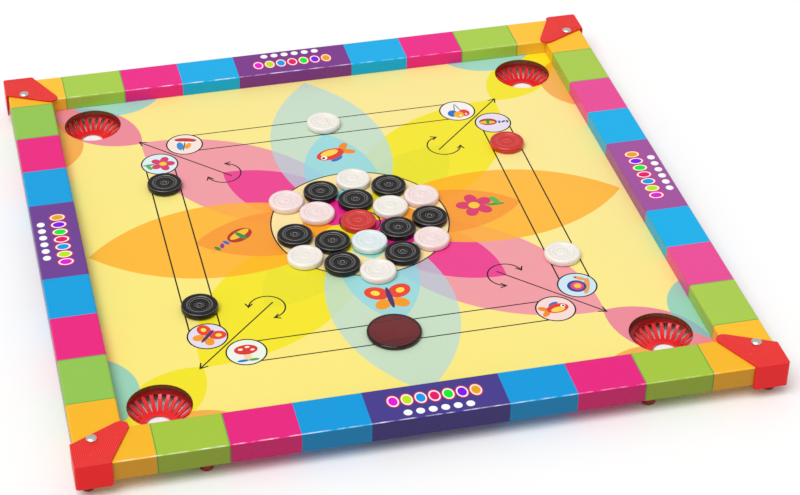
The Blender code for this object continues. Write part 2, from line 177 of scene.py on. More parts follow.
def arrow_head(tree, place, tip, heading, size):
    """1 on the two strokes of an open arrow head."""
    ahead, left = (cos(heading), sin(heading), 0), (-sin(heading), cos(heading), 0)
    offset = add(tree, "VectorMath", place, (*tip, 0), operation="SUBTRACT")
    along = add(tree, "VectorMath", offset, ahead, out="Value", operation="DOT_PRODUCT")
    aside = add(tree, "VectorMath", offset, left, out="Value", operation="DOT_PRODUCT")
    aside = add(tree, "Math", aside, operation="ABSOLUTE")
    slope = add(tree, "Math", along, -0.62, operation="MULTIPLY")
    stroke = add(tree, "Math", aside, slope, LINE * 0.6, operation="COMPARE")
    near = add(tree, "Math", along, -size, operation="GREATER_THAN")
    return add(tree, "Math", stroke, near, operation="MULTIPLY")


# Pictures printed in the petals and the base rounds. Each blob is a colour, its centre across and
# up, its half width and half height, and its lean in degrees, in a picture that reaches 1 each way.
BUTTERFLY = (
    ("E8442E", -0.42, 0.34, 0.46, 0.36, -35),
    ("E8442E", 0.42, 0.34, 0.46, 0.36, 35),
    ("F59A1C", -0.32, -0.34, 0.34, 0.26, 40),
    ("F59A1C", 0.32, -0.34, 0.34, 0.26, -40),
    ("FBE04A", -0.46, 0.36, 0.17, 0.14, -35),
    ("FBE04A", 0.46, 0.36, 0.17, 0.14, 35),
    ("4B2E6E", 0, 0, 0.10, 0.62, 0),
)
FISH = (
    ("F28A1E", -0.62, 0.20, 0.32, 0.17, -40),
    ("F28A1E", -0.62, -0.20, 0.32, 0.17, 40),
    ("2C6FC4", 0.05, 0.40, 0.30, 0.15, 15),
    ("E23A30", 0.12, 0, 0.62, 0.38, 0),
    ("F9D54A", 0.10, -0.10, 0.40, 0.20, 0),
    ("FFFFFF", 0.48, 0.10, 0.13, 0.13, 0),
    ("1D1D3A", 0.50, 0.10, 0.07, 0.07, 0),
)
FLOWER = (
    ("3E9B45", 0.05, -0.62, 0.08, 0.36, 8),
    ("5DB54C", 0.30, -0.62, 0.28, 0.13, 30),
    ("D93A6A", 0, 0.60, 0.24, 0.30, 0),
    ("D93A6A", 0.42, 0.30, 0.24, 0.30, -72),
    ("D93A6A", 0.26, -0.18, 0.24, 0.30, -144),
    ("D93A6A", -0.26, -0.18, 0.24, 0.30, 144),
    ("D93A6A", -0.42, 0.30, 0.24, 0.30, 72),
    ("F9C932", 0, 0.20, 0.21, 0.21, 0),
)
BALLOONS = (
    ("5A4A3A", -0.12, -0.35, 0.03, 0.45, 14),
    ("5A4A3A", 0.10, -0.35, 0.03, 0.45, -12),
    ("E23A30", -0.36, 0.30, 0.32, 0.38, 10),
    ("2C6FC4", 0.34, 0.24, 0.30, 0.36, -12),
    ("F5B01E", 0, 0.44, 0.30, 0.36, 0),
    ("FFF3D0", -0.08, 0.56, 0.07, 0.11, 0),
    ("FFD9D0", -0.44, 0.44, 0.07, 0.11, 0),
)
SNAIL = (
    ("E8A45A", 0, -0.50, 0.72, 0.18, 0),
    ("E8A45A", 0.62, -0.14, 0.14, 0.42, -12),
    ("2E3F94", -0.10, 0.02, 0.52, 0.52, 0),
    ("E8447E", -0.08, 0, 0.36, 0.36, 0),
    ("F7C93A", -0.06, -0.02, 0.20, 0.20, 0),
    ("1D1D3A", 0.70, 0.14, 0.06, 0.06, 0),
)
BOAT = (
    ("C7342C", 0, -0.46, 0.66, 0.22, 0),
    ("FFFFFF", 0, -0.24, 0.60, 0.07, 0),
    ("6A4A2E", 0, 0.20, 0.04, 0.52, 0),
    ("2C8FD6", 0.24, 0.20, 0.20, 0.42, 12),
    ("F6A22C", -0.22, 0.14, 0.17, 0.34, -12),
)
TOADSTOOL = (
    ("F1D9A8", 0, -0.36, 0.20, 0.40, 0),
    ("DB3228", 0, 0.20, 0.62, 0.40, 0),
    ("FFF6E6", -0.28, 0.26, 0.13, 0.09, 0),
    ("FFF6E6", 0.10, 0.40, 0.13, 0.08, 0),
    ("FFF6E6", 0.34, 0.14, 0.11, 0.08, 0),
    ("2C6FC4", -0.30, -0.68, 0.30, 0.10, 0),
    ("4FA548", 0.28, -0.68, 0.28, 0.10, 0),
)
KITE = (
    ("B0322A", 0, 0.30, 0.36, 0.54, 20),
    ("F6C22C", -0.06, 0.32, 0.17, 0.46, 20),
    ("2F8F3E", 0.06, 0.34, 0.30, 0.10, 20),
    ("2C6FC4", 0.20, -0.34, 0.16, 0.08, 20),
    ("8A3A8C", 0.32, -0.56, 0.16, 0.08, -25),
    ("2F8F3E", 0.40, -0.78, 0.16, 0.08, 20),
)

# What each base round holds: the board's side, which end, its ground, its picture and its turn
BASE_PICTURES = (
    ("front", -1, "EEF3E6", TOADSTOOL, 0),
    ("front", 1, "F8DAD4", FISH, 10),
    ("left", -1, "E6DDF0", BUTTERFLY, -40),
    ("left", 1, "DDEFF4", FLOWER, -95),
    ("right", -1, "CDE6F3", SNAIL, 70),
    ("right", 1, "E9DDF0", KITE, 60),
    ("back", -1, "F8E4DC", BOAT, 165),
    ("back", 1, "F6F1EE", BALLOONS, 180),
)
# What each straight petal holds: the picture, its centre, half its size and its turn
PETAL_PICTURES = (
    (BUTTERFLY, (0, -101 * MM), 21 * MM, 0),
    (FISH, (0, 101 * MM), 20 * MM, 200),
    (KITE, (-102 * MM, 2 * MM), 21 * MM, -75),
    (FLOWER, (98 * MM, 2 * MM), 21 * MM, 80),
)


def base_round_centre(side, end):
    """Where a base round lies, by the side of the board it is near and the end of that side."""
    across, along = BASE_ROUND
    centres = {
        "front": (end * along, -across),
        "back": (end * along, across),
        "left": (-across, end * along),
        "right": (across, end * along),
    }
    return centres[side]


def inside_oval(tree, squares, straight, middle, half_width, half_height, lean):
    """1 inside an oval, from (x*x, x*y, y*y) and (x, y, 1): the two sides of its equation."""
    swing = Matrix.Rotation(lean, 2)
    a, b = swing @ Vector((1 / half_width, 0))
    c, d = swing @ Vector((0, 1 / half_height))
    e, f = a * middle.x + b * middle.y, c * middle.x + d * middle.y
    squared = (a * a + c * c, 2 * (a * b + c * d), b * b + d * d)
    linear_part = (2 * (a * e + c * f), 2 * (b * e + d * f), 1 - e * e - f * f)
    left = add(tree, "VectorMath", squares, squared, out="Value", operation="DOT_PRODUCT")
    right = add(tree, "VectorMath", straight, linear_part, out="Value", operation="DOT_PRODUCT")
    return add(tree, "Math", left, right, operation="LESS_THAN")


def picture_over(tree, views, colour, picture, centre, size, turn):
    """Prints a picture's ovals over what is there."""
    swing = Matrix.Rotation(radians(turn), 2)
    for ink, across, up, half_width, half_height, lean in picture:
        middle = Vector(centre) + swing @ Vector((across, up)) * size
        width, height = half_width * size, half_height * size
        lean = radians(turn + lean)
        squares, straight = views["squares"], views["straight"]
        inside = inside_oval(tree, squares, straight, middle, width, height, lean)
        colour = printed_over(tree, inside, colour, linear(ink))
    return colour


def petals_over(tree, colour, views, signs):
    """The half-clear inks of the flower. Each is given as the colour it makes over another one, and
    by how much it covers what is below it."""

    def film(colour, mask, sign, wanted, over, cover):
        if sign:
            mask = add(tree, "Math", mask, signs[sign], operation="MULTIPLY")
        share = add(tree, "Math", mask, cover, operation="MULTIPLY")
        shown = [(1 - cover) * part for part in linear(over)]
        ink = [max(0, part - under) / cover for part, under in zip(linear(wanted), shown)]
        return printed_over(tree, share, colour, ink)

    slanting = views["slanting"]
    corner = (CORNER_PETAL_START, CORNER_PETAL_TIP, CORNER_PETAL_WIDTH)
    corner = inside_petal(tree, slanting, *corner)
    outer = inside_petal(tree, slanting, 0, PETAL_LENGTH, PETAL_WIDTH)
    inner = inside_petal(tree, slanting, 0, INNER_PETAL_LENGTH, INNER_PETAL_WIDTH)
    colour = film(colour, corner, "pink", "EC8A98", GROUND, 0.85)
    colour = film(colour, outer, "pink", "F09CA2", GROUND, 0.85)
    colour = film(colour, inner, "pink", "EC3690", "F09CA2", 0.85)
    colour = film(colour, corner, "yellow", "F3E41E", GROUND, 0.95)
    colour = film(colour, outer, "yellow", "F4E520", GROUND, 0.95)
    colour = film(colour, inner, "yellow", "EAE122", "F4E520", 0.95)
    by_side = inside_round(tree, views["sideways"], EDGE_ROUND_CENTRE, EDGE_ROUND_RADIUS)
    by_end = inside_round(tree, views["endways"], EDGE_ROUND_CENTRE, EDGE_ROUND_RADIUS)
    colour = film(colour, by_side, "front", "9AD2BA", GROUND, 0.7)
    colour = film(colour, by_end, "front", "F5B02C", GROUND, 0.7)
    colour = film(colour, by_side, "back", "F5B02C", GROUND, 0.7)
    colour = film(colour, by_end, "back", "A2D6C6", GROUND, 0.7)
    outer = inside_petal(tree, views["sideways"], 0, PETAL_LENGTH, PETAL_WIDTH)
    inner = inside_petal(tree, views["sideways"], 0, INNER_PETAL_LENGTH, INNER_PETAL_WIDTH)
    colour = film(colour, outer, None, "FCB91C", GROUND, 0.85)
    colour = film(colour, inner, None, "F79C28", "FCB91C", 0.7)
    outer = inside_petal(tree, views["endways"], 0, PETAL_LENGTH, PETAL_WIDTH)
    inner = inside_petal(tree, views["endways"], 0, INNER_PETAL_LENGTH, INNER_PETAL_WIDTH)
    colour = film(colour, outer, None, "C8DEC2", GROUND, 0.6)
    colour = film(colour, inner, None, "9CD8DA", "C8DEC2", 0.7)

    # The pale middle, with a small flower of the same colours in it
    colour = printed_over(
        tree, inside_round(tree, views["flat"], (0, 0), CENTRE_RING), colour, linear("FBE3A2")
    )
    for view, sign, ink in (
        ("endways", None, "8FD9D2"),
        ("sideways", None, "F9A11C"),
        ("slanting", "yellow", "EDE21C"),
        ("slanting", "pink", "EC1C92"),
    ):
        mask = inside_petal(tree, views[view], 0, HEART_PETAL_LENGTH, HEART_PETAL_WIDTH)
        if sign:
            mask = add(tree, "Math", mask, signs[sign], operation="MULTIPLY")
        colour = printed_over(tree, mask, colour, linear(ink))
    return colour


def arrows(tree, view, out, aside):
    """1 on the arrows along the diagonals and on the turning arrows round their tails."""
    thin = add(tree, "Math", aside, LINE / 2, operation="LESS_THAN")
    before = add(tree, "Math", out, ARROW_TIP, operation="LESS_THAN")
    after = add(tree, "Math", out, ARROW_TAIL, operation="GREATER_THAN")
    shaft = add(tree, "Math", thin, before, operation="MULTIPLY")
    lines = add(tree, "Math", shaft, after, operation="MULTIPLY")
    end = (TURN_CENTRE + TURN_RADIUS * cos(TURN_GAP), TURN_RADIUS * sin(TURN_GAP))
    ring = on_ring(tree, view, (TURN_CENTRE, 0), TURN_RADIUS)
    short = add(tree, "Math", out, end[0], operation="LESS_THAN")
    turning = add(tree, "Math", ring, short, operation="MULTIPLY")
    tip = arrow_head(tree, view, (ARROW_TIP, 0), 0, 5.5 * MM)
    turning_tip = arrow_head(tree, view, end, TURN_GAP - pi / 2, 4.5 * MM)
    for stroke in (turning, tip, turning_tip):
        lines = add(tree, "Math", lines, stroke, operation="MAXIMUM")
    return lines


def printed_hardboard():
    """Hardboard with a printed, varnished face: even colour, a soft gloss and a faint orange peel.
    Its underside and its cut edges are bare brown fibre."""
    material, tree, shader, place = start_material("hardboard_printed_and_varnished")
    x, y, z = add(tree, "SeparateXYZ", place, out=slice(3))
    across = add(tree, "Math", x, operation="ABSOLUTE")
    up = add(tree, "Math", y, operation="ABSOLUTE")
    far = add(tree, "Math", across, up, operation="MAXIMUM")
    near = add(tree, "Math", across, up, operation="MINIMUM")
    total = add(tree, "Math", far, near, operation="ADD")
    gap = add(tree, "Math", far, near, operation="SUBTRACT")
    out = add(tree, "Math", total, sqrt(0.5), operation="MULTIPLY")
    aside = add(tree, "Math", gap, sqrt(0.5), operation="MULTIPLY")
    views = {
        "flat": add(tree, "CombineXYZ", x, y),
        "sideways": add(tree, "CombineXYZ", across, up),
        "endways": add(tree, "CombineXYZ", up, across),
        "eighth": add(tree, "CombineXYZ", far, near),
        "slanting": add(tree, "CombineXYZ", out, aside),
        "straight": add(tree, "CombineXYZ", x, y, 1),
    }
    product = add(tree, "Math", x, y, operation="MULTIPLY")
    x_squared = add(tree, "Math", x, x, operation="MULTIPLY")
    y_squared = add(tree, "Math", y, y, operation="MULTIPLY")
    views["squares"] = add(tree, "CombineXYZ", x_squared, product, y_squared)
    signs = {
        "yellow": add(tree, "Math", product, 0, operation="GREATER_THAN"),
        "pink": add(tree, "Math", product, 0, operation="LESS_THAN"),
        "back": add(tree, "Math", y, 0, operation="GREATER_THAN"),
        "front": add(tree, "Math", y, 0, operation="LESS_THAN"),
    }

    to_back_right = add(tree, "Math", x, y, operation="ADD")
    paler = add(tree, "MapRange", to_back_right, -0.2, 0.2)
    colour = printed_over(tree, paler, linear(GROUND), linear("F9E894"))
    colour = petals_over(tree, colour, views, signs)
    for picture, centre, size, turn in PETAL_PICTURES:
        colour = picture_over(tree, views, colour, picture, centre, size, turn)

    black = linear("1C1712")
    from_strip = add(tree, "Math", far, BASE_STRIP, operation="SUBTRACT")
    from_strip = add(tree, "Math", from_strip, operation="ABSOLUTE")
    lines = add(tree, "Math", from_strip, BASE_STRIP_HALF, LINE / 2, operation="COMPARE")
    between = add(tree, "Math", near, BASE_ROUND[1], operation="LESS_THAN")
    lines = add(tree, "Math", lines, between, operation="MULTIPLY")
    for radius in (CENTRE_RING, QUEEN_RING):
        ring = on_ring(tree, views["flat"], (0, 0), radius)
        lines = add(tree, "Math", lines, ring, operation="MAXIMUM")
    colour = printed_over(tree, lines, colour, black)

    for side, end, ground, picture, turn in BASE_PICTURES:
        centre = base_round_centre(side, end)
        inside = inside_round(tree, views["flat"], centre, BASE_ROUND_RADIUS)
        colour = printed_over(tree, inside, colour, linear(ground))
        size = BASE_ROUND_RADIUS * 0.95
        colour = picture_over(tree, views, colour, picture, centre, size, turn)
    lines = arrows(tree, views["slanting"], out, aside)
    rounds = on_ring(tree, views["eighth"], BASE_ROUND, BASE_ROUND_RADIUS)
    lines = add(tree, "Math", lines, rounds, operation="MAXIMUM")
    colour = printed_over(tree, lines, colour, black)

    fibres = add(tree, "TexNoise", place, named={"Scale": 1 / (1.2 * MM), "Detail": 3})
    bare = printed_over(tree, fibres, linear("3E2014"), linear("8E5C36"))
    is_face = add(tree, "Math", z, PANEL_HIGH.z - 0.05 * MM, operation="GREATER_THAN")
    colour = printed_over(tree, is_face, bare, colour)
    peel = add(tree, "TexNoise", place, named={"Scale": 1 / (9 * MM), "Detail": 2})
    gloss = add(tree, "MapRange", peel, named={"To Min": 0.24, "To Max": 0.36})
    height = {"Height": peel, "Distance": 0.05 * MM, "Strength": 0.35}
    bump = add(tree, "Bump", named=height)
    linked = {"Base Color": colour, "Roughness": gloss, "Normal": bump}
    finish_shader(tree, shader, linked, Specular_IOR_Level=0.3)
    return material


# ---------------------------------------------------------------- the other finishes


def beads_over(tree, colour, along, reach, out):
    """Prints a row of coloured beads with white and red borders, and a row of small white ones."""
    row_half = 3.5 * BEAD_PITCH
    in_bead = add(tree, "Math", along, BEAD_PITCH / 2, -BEAD_PITCH / 2, operation="WRAP")
    aside = add(tree, "Math", out, BEAD_ROW, operation="SUBTRACT")
    aside = add(tree, "Math", aside, 0.72, operation="MULTIPLY")
    local = add(tree, "CombineXYZ", in_bead, aside)
    from_middle = add(tree, "VectorMath", local, out="Value", operation="LENGTH")
    in_row = add(tree, "Math", reach, row_half, operation="LESS_THAN")
    which = add(tree, "Math", along, 1 / BEAD_PITCH, operation="MULTIPLY")
    which = add(tree, "Math", which, operation="ROUND")
    hue = add(tree, "Math", which, 0.37, 0.97, operation="MULTIPLY_ADD")
    hue = add(tree, "Math", hue, operation="FRACT")
    bead = add(tree, "CombineColor", hue, 1.0, 0.8, mode="HSV")
    borders = ((4.9 * MM, linear("E8262C")), (4.2 * MM, linear("FAFAFA")), (3.3 * MM, bead))
    for radius, ink in borders:
        inside = add(tree, "Math", from_middle, radius, operation="LESS_THAN")
        inside = add(tree, "Math", inside, in_row, operation="MULTIPLY")
        colour = printed_over(tree, inside, colour, ink)

    row_half = 28 * MM
    in_bead = add(tree, "Math", along, SMALL_BEAD_PITCH, 0, operation="WRAP")
    in_bead = add(tree, "Math", in_bead, SMALL_BEAD_PITCH / 2, operation="SUBTRACT")
    aside = add(tree, "Math", out, SMALL_BEAD_ROW, operation="SUBTRACT")
    local = add(tree, "CombineXYZ", in_bead, aside)
    from_middle = add(tree, "VectorMath", local, out="Value", operation="LENGTH")
    inside = add(tree, "Math", from_middle, 3.1 * MM, operation="LESS_THAN")
    in_row = add(tree, "Math", reach, row_half, operation="LESS_THAN")
    inside = add(tree, "Math", inside, in_row, operation="MULTIPLY")
    return printed_over(tree, inside, colour, linear("FAFAFA"))


def laminated_wrap(rail):
    """Printed paper under a glossy film, folded round a wooden rail: flat colour blocks, painted
    shade on the outer sides, a soft ripple in the shine, and a pale line along the folds nearest the
    player, partly wear and partly a painted highlight."""
    material, tree, shader, place = start_material("laminated_paper_" + rail)
    x, y, z = add(tree, "SeparateXYZ", place, out=slice(3))
    along, across = (x, y) if rail in ("rail_front", "rail_back") else (y, x)
    slipped = add(tree, "Math", along, WRAP_SLIP[rail], operation="SUBTRACT")
    reach = add(tree, "Math", slipped, operation="ABSOLUTE")
    out = add(tree, "Math", across, operation="ABSOLUTE")
    colour = linear(WRAP_INKS[rail][0])
    for start, ink in zip(WRAP_BLOCKS[1:], WRAP_INKS[rail][1:]):
        beyond = add(tree, "Math", reach, start, operation="GREATER_THAN")
        colour = printed_over(tree, beyond, colour, linear(ink))
    for start in WRAP_BLOCKS[3:]:
        joint = add(tree, "Math", reach, start, 0.45 * MM, operation="COMPARE")
        shown = add(tree, "Math", joint, 0.75, operation="MULTIPLY")
        colour = printed_over(tree, shown, colour, linear("1FA04A"))
    on_top = add(tree, "Math", z, RAIL_HIGH.z - FOLD_DEPTH, operation="GREATER_THAN")
    beads = beads_over(tree, colour, slipped, reach, out)
    colour = printed_over(tree, on_top, colour, beads)

    # Painted shade darkens the outer sides, and the folds nearest the player get a pale line, partly
    # rubbed wear and partly a painted highlight
    side_shade = add(tree, "Math", out, HALF - 1 * MM, operation="GREATER_THAN")
    side_shade = add(tree, "Math", side_shade, on_top, operation="SUBTRACT")
    colour = printed_over(tree, side_shade, colour, linear("C6BCB8"), "MULTIPLY")
    if rail in ("rail_front", "rail_back"):
        fold = RAIL_LOW.y if rail == "rail_front" else -RAIL_HIGH.y
        # A pale line along the fold: partly rubbed wear, partly a painted highlight along the
        # rounded edge
        at_fold = add(tree, "Math", y, fold + 0.75 * MM, 0.3 * MM, operation="COMPARE")
        at_fold = add(tree, "Math", at_fold, on_top, operation="MULTIPLY")
        wear_and_glint_noise = add(tree, "TexNoise", place, named={"Scale": 1 / (9 * MM), "Detail": 4})
        pale_share = add(tree, "MapRange", wear_and_glint_noise, 0.40, 0.64, 0.0, 0.85)
        left = add(tree, "MapRange", x, -0.05, 0.2, 1, 0.35)
        pale_share = add(tree, "Math", pale_share, left, operation="MULTIPLY")
        worn_and_glint = add(tree, "Math", at_fold, pale_share, operation="MULTIPLY")
        colour = printed_over(tree, worn_and_glint, colour, linear("F4EEF0"))
    ripple = add(tree, "TexNoise", place, named={"Scale": 1 / (16 * MM), "Detail": 2})
    gloss = add(tree, "MapRange", ripple, named={"To Min": 0.20, "To Max": 0.34})
    bump = add(tree, "Bump", named={"Height": ripple, "Distance": 0.1 * MM, "Strength": 0.4})
    linked = {"Base Color": colour, "Roughness": gloss, "Normal": bump}
    finish_shader(tree, shader, linked, Specular_IOR_Level=0.2)
    return material


def moulded(name, light, deep, roughness, grain=0.8 * MM, tint=None, **constants):
    """A moulded or cast material, a little uneven in depth of colour, with a fine grain.
    Where `tint` is given, it changes the colour over part of the piece."""
    material, tree, shader, place = start_material(name)
    cloud = add(tree, "TexNoise", place, named={"Scale": 1 / (7 * MM), "Detail": 2})
    colour = printed_over(tree, cloud, linear(deep), linear(light))
    if tint:
        colour = tint(tree, place, colour)
    fine = add(tree, "TexNoise", place, named={"Scale": 1 / grain, "Detail": 2})
    spread = {"To Min": roughness - 0.05, "To Max": roughness + 0.07}
    gloss = add(tree, "MapRange", fine, named=spread)
    bump = add(tree, "Bump", named={"Height": fine, "Distance": 0.02 * MM, "Strength": 0.4})
    linked = {"Base Color": colour, "Roughness": gloss, "Normal": bump}
    finish_shader(tree, shader, linked, IOR=1.5, **constants)
    return material


def painted_lip_shade(tree, place, colour):
    """Painted shade: the cup's plastic is darkened up where it hangs from the panel, under the
    overhang.
    """
    height = add(tree, "SeparateXYZ", place, out=2)
    deep = add(tree, "MapRange", height, 7.5 * MM, PANEL_LOW.z - 0.5 * MM, 0, 0.85)
    return printed_over(tree, deep, colour, linear("5A1418"))


def painted_ring_highlights(ink, share):
    """Painted highlight: a paler ink along the shoulders of a man's raised rings, which all lie at
    one height, where they would catch the light.
    """

    def tint(tree, place, colour):
        height = add(tree, "SeparateXYZ", place, out=2)
        shoulder = add(tree, "Math", height, MAN_BASE + RING_SHOULDER, 0.1 * MM, operation="COMPARE")
        pale_share = add(tree, "Math", shoulder, share, operation="MULTIPLY")
        return printed_over(tree, pale_share, colour, linear(ink))

    return tint


def painted_rim_shade(centre):
    """Painted shade darkens a cast disc's rim nearly to black all the way round."""

    def tint(tree, place, colour):
        from_middle = add(tree, "VectorMath", place, (centre.x, centre.y, 0), operation="SUBTRACT")
        from_middle = add(tree, "VectorMath", from_middle, (1, 1, 0), operation="MULTIPLY")
        from_middle = add(tree, "VectorMath", from_middle, out="Value", operation="LENGTH")
        rim = add(tree, "MapRange", from_middle, *STRIKER_RIM_SHADE, 0, 1)
        return printed_over(tree, rim, colour, linear("35090F"))

    return tint


def ribbed_cap_plastic():
    """Red moulded plastic whose top carries fine raised lines that follow the cap's outline."""
    material, tree, shader, place = start_material("polystyrene_moulded_ribbed_red")
    x, y, z = add(tree, "SeparateXYZ", place, out=slice(3))
    across = add(tree, "Math", x, operation="ABSOLUTE")
    up = add(tree, "Math", y, operation="ABSOLUTE")
    far = add(tree, "Math", across, up, operation="MAXIMUM")
    near = add(tree, "Math", across, up, operation="MINIMUM")
    outer = CAP_HIGH.x
    inner = CAP_LOW.x
    shoulder = HALF - CAP_ARM_START
    run = Vector((outer - inner, shoulder - inner)).normalized()
    # How far in from the slanting edge and from the outer face, whichever is nearer
    far_part = add(tree, "Math", far, inner, operation="SUBTRACT")
    far_part = add(tree, "Math", far_part, -run.y, operation="MULTIPLY")
    near_part = add(tree, "Math", near, inner, operation="SUBTRACT")
    slant = add(tree, "Math", near_part, run.x, far_part, operation="MULTIPLY_ADD")
    edge = add(tree, "Math", outer, far, operation="SUBTRACT")
    inwards = add(tree, "Math", slant, edge, operation="MINIMUM")
    line = add(tree, "Math", inwards, CAP_LINE_SPACING / 2, operation="PINGPONG")
    rise = add(tree, "MapRange", line, 0, CAP_LINE_SPACING / 2)
    on_top = add(tree, "Math", z, CAP_HIGH.z - 0.4 * MM, operation="GREATER_THAN")
    rise = add(tree, "Math", rise, on_top, operation="MULTIPLY")
    rise = add(tree, "Math", rise, 0.8, operation="POWER")
    share = add(tree, "Math", rise, 0.95, operation="MULTIPLY")
    # Painted highlight and shade: the crests of the raised lines are coloured lighter and the
    # hollows between them darker
    colour = printed_over(tree, share, linear("DE0A12"), linear("FF443E"))
    bump = add(tree, "Bump", named={"Height": rise, "Distance": 0.3 * MM, "Strength": 0.9})
    fine = add(tree, "TexNoise", place, named={"Scale": 1 / (0.9 * MM), "Detail": 2})
    gloss = add(tree, "MapRange", fine, named={"To Min": 0.26, "To Max": 0.40})
    linked = {"Base Color": colour, "Roughness": gloss, "Normal": bump}
    finish_shader(tree, shader, linked, Specular_IOR_Level=0.25)
    return material


def rolled_steel(name, colour, roughness):
    """Bright steel, plated or drawn, with faint scuffs."""
    material, tree, shader, place = start_material(name)
    scuffs = add(tree, "TexNoise", place, named={"Scale": 1 / (0.6 * MM), "Detail": 4})
    spread = {"To Min": roughness, "To Max": roughness + 0.15}
    gloss = add(tree, "MapRange", scuffs, named=spread)
    tone = printed_over(tree, scuffs, linear(colour), linear("FFFFFF"))
    linked = {"Base Color": tone, "Roughness": gloss}
    finish_shader(tree, shader, linked, Metallic=1.0)
    return material


def painted_floor():
    """Matt white paint, with the slightest unevenness."""
    material, tree, shader, place = start_material("matt_white_paint")
    cloud = add(tree, "TexNoise", place, named={"Scale": 4.0, "Detail": 2})
    colour = printed_over(tree, cloud, linear("FAFAFA"), linear("FDFDFD"))
    finish_shader(tree, shader, {"Base Color": colour}, Roughness=0.9, Specular_IOR_Level=0.1)
    return material


# ---------------------------------------------------------------- making pieces


def deselect():
    bpy.ops.object.select_all(action="DESELECT")


def keep(piece, name, body, slot, material, *nodes):
    """Names a finished piece, gives it its finish, and has it stand for its CAD nodes."""
    piece.name = name
    piece.data.name = name
    piece.data.materials.clear()
    piece.data.materials.append(material)
    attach(piece, body)
    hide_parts(*nodes)


def apply_modifier(piece, kind, **settings):
    deselect()
    bpy.context.view_layer.objects.active = piece
    piece.select_set(True)
    bpy.ops.object.modifier_add(type=kind)
    modifier = piece.modifiers[-1]
    for name, value in settings.items():
        setattr(modifier, name, value)
    bpy.ops.object.modifier_apply(modifier=modifier.name)


def rounded_copy(node, edge_radius, segments=3, sharper_than=40):
    """A merged copy of a CAD node, with its sharp edges rounded over."""
    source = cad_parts[node]
    piece = bpy.data.objects.new(node + "_copy", source.data.copy())
    bpy.context.scene.collection.objects.link(piece)
    deselect()
    bpy.context.view_layer.objects.active = piece
    piece.select_set(True)
    bpy.ops.mesh.customdata_custom_splitnormals_clear()
    bpy.ops.object.mode_set(mode="EDIT")
    bpy.ops.mesh.select_all(action="SELECT")
    bpy.ops.mesh.remove_doubles(threshold=0.002 * MM)
    bpy.ops.mesh.dissolve_limited(angle_limit=radians(0.5))
    bpy.ops.object.mode_set(mode="OBJECT")
    if edge_radius:
        apply_modifier(
            piece,
            "BEVEL",
            width=edge_radius,
            segments=segments,
            limit_method="ANGLE",
            angle_limit=radians(sharper_than),
            use_clamp_overlap=True,
            harden_normals=False,
        )
    bpy.ops.object.shade_smooth_by_angle(angle=radians(sharper_than))
    apply_modifier(piece, "WEIGHTED_NORMAL", keep_sharp=True)
    return piece


def turned_piece(profile, centre, base):
    """A turned solid, drawn up from its bottom face through (radius, height) points."""
    deselect()
    first_radius, first_height = profile[0]
    bpy.ops.mesh.primitive_circle_add(
        vertices=ROUND_STEPS,
        radius=first_radius,
        fill_type="NGON",
        location=(centre.x, centre.y, base + first_height),
    )
    piece = bpy.context.object
    bpy.ops.object.transform_apply(location=True, rotation=True, scale=True)
    bpy.ops.object.mode_set(mode="EDIT")
    bpy.ops.mesh.select_all(action="SELECT")
    for (radius, height), (next_radius, next_height) in zip(profile, profile[1:]):
        bpy.ops.mesh.extrude_region_move(
            TRANSFORM_OT_translate={"value": (0, 0, next_height - height)}
        )
        bpy.ops.transform.resize(
            value=(next_radius / radius, next_radius / radius, 1),
            center_override=(centre.x, centre.y, base + next_height),
        )
    bpy.ops.mesh.select_all(action="SELECT")
    bpy.ops.mesh.normals_make_consistent(inside=False)
    bpy.ops.object.mode_set(mode="OBJECT")
    bpy.ops.object.shade_smooth_by_angle(angle=radians(45))
    return piece


def middle_of(node):
    low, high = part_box(node)
    return (low + high) / 2, low.z


# A man's half section, (radius, height) in millimetres: a rounded rim, a stepped ring round a
# shallow dish, and a dimpled boss in the middle
MAN_SECTION = (
    (12.6, 0), (13.3, 0.25), (13.8, 0.8), (14.0, 1.6), (14.0, 3.7), (13.85, 4.4), (13.4, 5.0),
    (12.8, 5.3), (12.1, 5.4), (10.7, 5.4), (10.2, 5.28), (9.9, 4.9), (9.5, 4.68), (9.1, 4.72),
    (8.7, 5.0), (8.2, 5.1), (7.7, 4.98), (7.3, 4.66), (6.6, 4.55), (4.4, 4.55), (3.7, 4.62),
    (3.3, 4.95), (2.8, 5.12), (2.2, 5.08), (1.7, 4.8), (1.1, 4.66), (0.5, 4.62),
)  # fmt: skip
STRIKER_SECTION = (
    (19.5, 0), (20.1, 0.25), (20.4, 0.8), (20.4, 2.4), (20.15, 2.9), (19.6, 3.2), (18.4, 3.2),
    (17.9, 3.12), (17.4, 3.12), (16.9, 3.2), (1.0, 3.2),
)  # fmt: skip


def make_rails():
    for rail in ("rail_front", "rail_right", "rail_back", "rail_left"):
        piece = rounded_copy(rail, 0)
        keep(piece, "wrapped_" + rail, "board", "printed_rail", laminated_wrap(rail), rail)


def make_panel():
    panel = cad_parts["playing_panel"]
    finish = printed_hardboard()
    for slot in panel.material_slots:
        slot.material = finish


